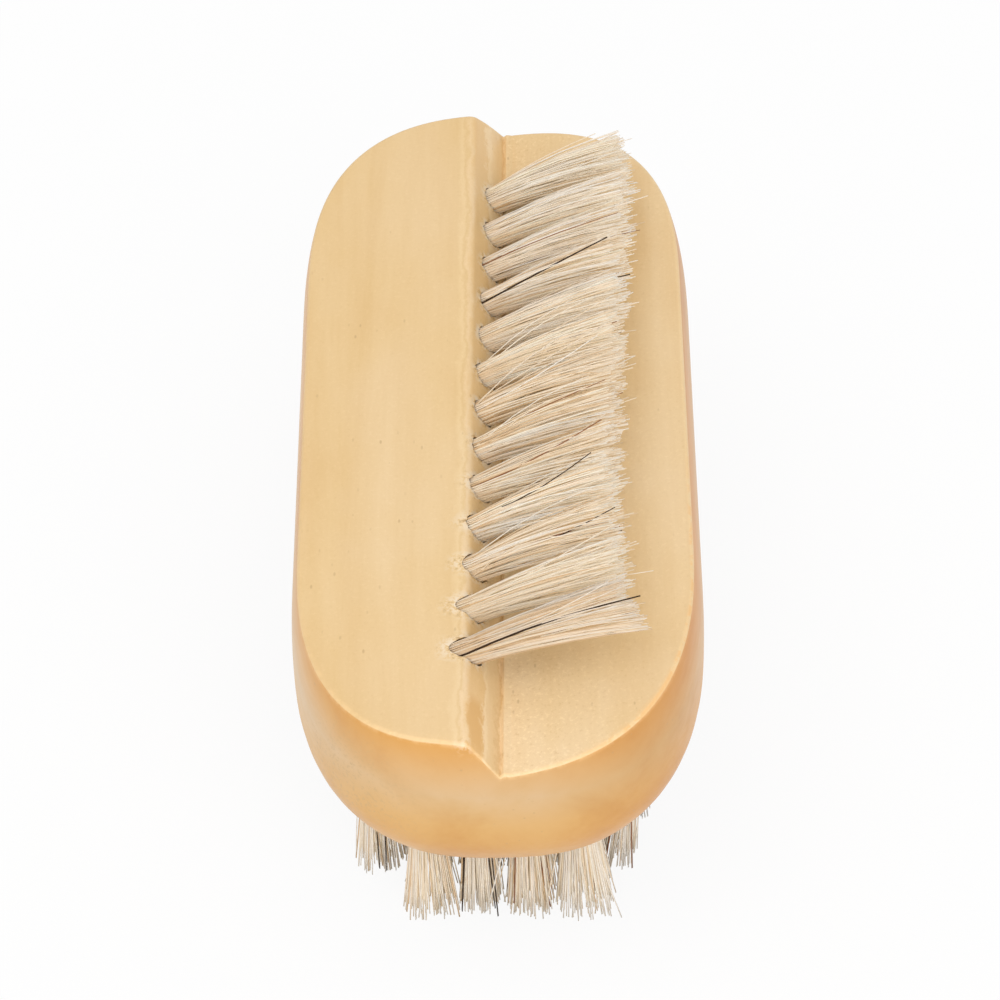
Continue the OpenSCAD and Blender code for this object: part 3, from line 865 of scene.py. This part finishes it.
def lower_tips(fan, lean):
    """How the legs of a lower tuft end: fanned into the nearly square room that the tuft has to itself,
    leaned a little, gathered into locks, and cut flat. A few stray."""
    scatter, uneven, bend, stray_scatter = 0.2 * MM, 0.14 * MM, 0.18 * MM, 0.9 * MM
    locks, pull, straying = 8, 0.3, 0.05

    def tips(start, length, dice):
        """The end, the length and the bow of each leg that starts at these places."""
        count = len(start)
        squareness = np.abs(start).max(axis=1, keepdims=True) / np.linalg.norm(start, axis=1, keepdims=True)
        tip = start / pack_radius * squareness ** -0.6 * fan + dice.normal(0, scatter, (count, 2))
        tip = gathered(tip, locks, pull, dice)[0] + lean
        reach = length - np.abs(dice.normal(0, uneven, count)) - 0.02 * MM
        stray = dice.uniform(size=(count, 1)) < straying
        tip += np.where(stray, dice.normal(0, stray_scatter, (count, 2)), 0)
        bow = dice.normal(0, bend, (count, 2))
        return tip, reach, bow
    return tips


lower_hairs, lower_sides, lower_taper = 88, 3, 0.12
lower_shares = np.array([0.25, 0.5, 0.78, 1.0])
lower_tans, lower_browns, lower_blacks, lower_seed = 0.042, 0.006, 0.002, 1000
front_fans, front_leans, front_whites = [2.95, 2.1, 2.7, 3.1], [0.0, 0.1, 0.1, 0.8], [0.6, 0.95, 0.5, 0.8]
# Odd hairs by row and place in the row
lower_marks = {(12, 0): [((1.1, 0.7), (2.9, 2.2), (0, 0), 0, TAN, 1.2)],
               (12, 1): [((-0.9, 0.9), (-1.8, 1.6), (0, 0), -0.1, BLACK, 1.0),
                         ((1.0, 0.9), (1.8, 2.3), (0, 0), -0.1, BLACK, 1.2)],
               (12, 2): [((-1.0, 0.8), (-1.5, 2.2), (0, 0), -2, BROWN, 1.2),
                         ((1.2, 0.6), (2.0, 2.2), (0, 0), -0.1, BROWN, 1.2),
                         ((-1.2, 0.6), (-4.2, 2.4), (0, 0), -1.5, WHITE, 1.2)],
               (12, 3): [((1.2, 0.6), (1.6, 2.2), (0.7, 0), -0.1, BLACK, 1.3),
                         ((-1.2, 0.6), (-3.4, 2.4), (0, 0), -0.8, CREAM, 1.2)],
               (11, 5): [((0.4, 1.1), (0.5, 2.4), (0, 0), -0.1, BROWN, 1.3)]}
for row in range(lower_rows):
    tufts = []
    for k, place in enumerate(lower_places(row)):
        dice = np.random.default_rng(lower_seed + 10 * row + k)
        fan, lean, white = dice.uniform(2.5, 2.8) * MM, dice.normal(0, 0.3 * MM, 2), dice.uniform(0.35, 0.8)
        if row == lower_rows - 1:
            fan, lean, white = front_fans[k] * MM, np.array([front_leans[k] * MM, 0]), front_whites[k]
        elif row == lower_rows - 2 and k in (0, lower_columns - 1):
            lean, white = np.array([-1.6 * MM if k else 0, 0]), 0.85
        rest = 1 - lower_tans - lower_browns - lower_blacks - white
        chances = [0.65 * rest, 0.35 * rest, white, lower_tans, lower_browns, lower_blacks]
        hairs = tuft(lower_hole_depth, lower_hairs, underside, lower_tips(fan, lean), dice, chances,
                     lower_shares, lower_sides, lower_taper, lower_marks.get((row, k), ()))
        tufts.append((place, hairs))
    piece = hair_piece(f"lower_row_{row + 1:02d}_bristles", tufts)
    piece.data.materials.append(lower_hair)
    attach(piece, "root")
    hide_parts(f"lower_row_{row + 1:02d}")

# Stage: a plain pale floor under the bristles, wide enough to fill the view, and soft light from all round
# with three panels: one overhead, one before the near end, and one low that lights the lower bristles.
floor_mesh = bpy.data.meshes.new("floor")
floor_mesh.from_pydata([(-3, -3, 0), (3, -3, 0), (3, 3, 0), (-3, 3, 0)], [], [(0, 1, 2, 3)])
floor = bpy.data.objects.new("floor", floor_mesh)
bpy.context.scene.collection.objects.link(floor)

pale, tree, paper = new_material("pale_floor")
paper.inputs["Roughness"].default_value = 0.9
paper.inputs["Specular IOR Level"].default_value = 0.0
specks = noise(tree, object_place(tree), Scale=100.0, Detail=2.0)
tree.links.new(ramp_of(tree, specks, [(0.3, 0.93), (0.7, 0.95)]), paper.inputs["Base Color"])
glow = node(tree, "ShaderNodeEmission", Color=(1, 1, 1, 1), Strength=1.0)
seen = ray_share(tree, "Is Camera Ray", "Is Glossy Ray", 0.9)
from_above = mixed_shaders(tree, seen, paper.outputs[0], glow.outputs[0])
from_below = node(tree, "ShaderNodeBsdfTransparent").outputs[0]
backfacing = node(tree, "ShaderNodeNewGeometry").outputs["Backfacing"]
surface = mixed_shaders(tree, backfacing, from_above, from_below)
tree.links.new(surface, tree.nodes["Material Output"].inputs["Surface"])
floor_mesh.materials.append(pale)

world = bpy.data.worlds.new("studio")
bpy.context.scene.world = world
world.use_nodes = True
tree = world.node_tree
sky = tree.nodes["Background"]
sky.inputs["Color"].default_value = (1, 1, 1, 1)
strength = node(tree, "ShaderNodeMapRange", **{"To Min": 0.72, "To Max": 1.0})
tree.links.new(ray_share(tree, "Is Camera Ray", "Is Glossy Ray", 1.0), strength.inputs["Value"])
tree.links.new(strength.outputs["Result"], sky.inputs["Strength"])


def standing_at(right, up, back, place):
    """The matrix of a lamp or camera with these axes at a place."""
    return Matrix([*np.column_stack([right, up, back, place]).tolist(), [0, 0, 0, 1]])


def panel(name, place, aim, width, height, power):
    """A rectangular area lamp at a place, turned to face a point."""
    lamp = bpy.data.lights.new(name, "AREA")
    lamp.shape, lamp.size, lamp.size_y, lamp.energy = "RECTANGLE", width, height, power
    made = bpy.data.objects.new(name, lamp)
    bpy.context.scene.collection.objects.link(made)
    back = np.array(place, float) - np.array(aim, float)
    back /= np.linalg.norm(back)
    right = np.cross([0, 1, 0], back)
    right /= np.linalg.norm(right)
    up = np.cross(back, right)
    made.matrix_world = standing_at(right, up, back, place)


panel("overhead_panel", (-0.3, -0.25, 0.75), (0, 0, 0.03), 0.5, 0.5, 1.1)
panel("front_panel", (0.25, -0.58, 0.55), (0, 0, 0.03), 0.5, 0.4, 1.5)
panel("low_panel", (-0.1, -0.85, 0.2), (0, 0, 0.02), 0.5, 0.2, 1.2)

# Camera: a long lens that looks down on the brush from beyond its near end, a little to the right of its
# middle line and a little rolled, as the photograph's did.
elevation, azimuth, roll = 46.0 * DEGREE, 1.17 * DEGREE, -2.01 * DEGREE
distance, focus_pixels, picture_width = 418.4 * MM, 4089.0, 1000
target = np.array([0.29 * MM, -4.59 * MM, underside + block_thick / 2])
forward = np.array([-math.sin(azimuth) * math.cos(elevation), math.cos(azimuth) * math.cos(elevation),
                    -math.sin(elevation)])
right = np.array([math.cos(azimuth), math.sin(azimuth), 0.0])
up = np.cross(right, forward)
right, up = math.cos(roll) * right + math.sin(roll) * up, -math.sin(roll) * right + math.cos(roll) * up
eye = target - forward * distance
lens = bpy.data.cameras.new("camera")
lens.sensor_width = 36
lens.lens = focus_pixels * lens.sensor_width / picture_width
lens.clip_start, lens.clip_end = 0.01, 20
camera = bpy.data.objects.new("camera", lens)
bpy.context.scene.collection.objects.link(camera)
camera.matrix_world = standing_at(right, up, -forward, eye)
bpy.context.scene.camera = camera
bpy.context.scene.view_settings.view_transform = "Standard"

bpy.context.view_layer.update()
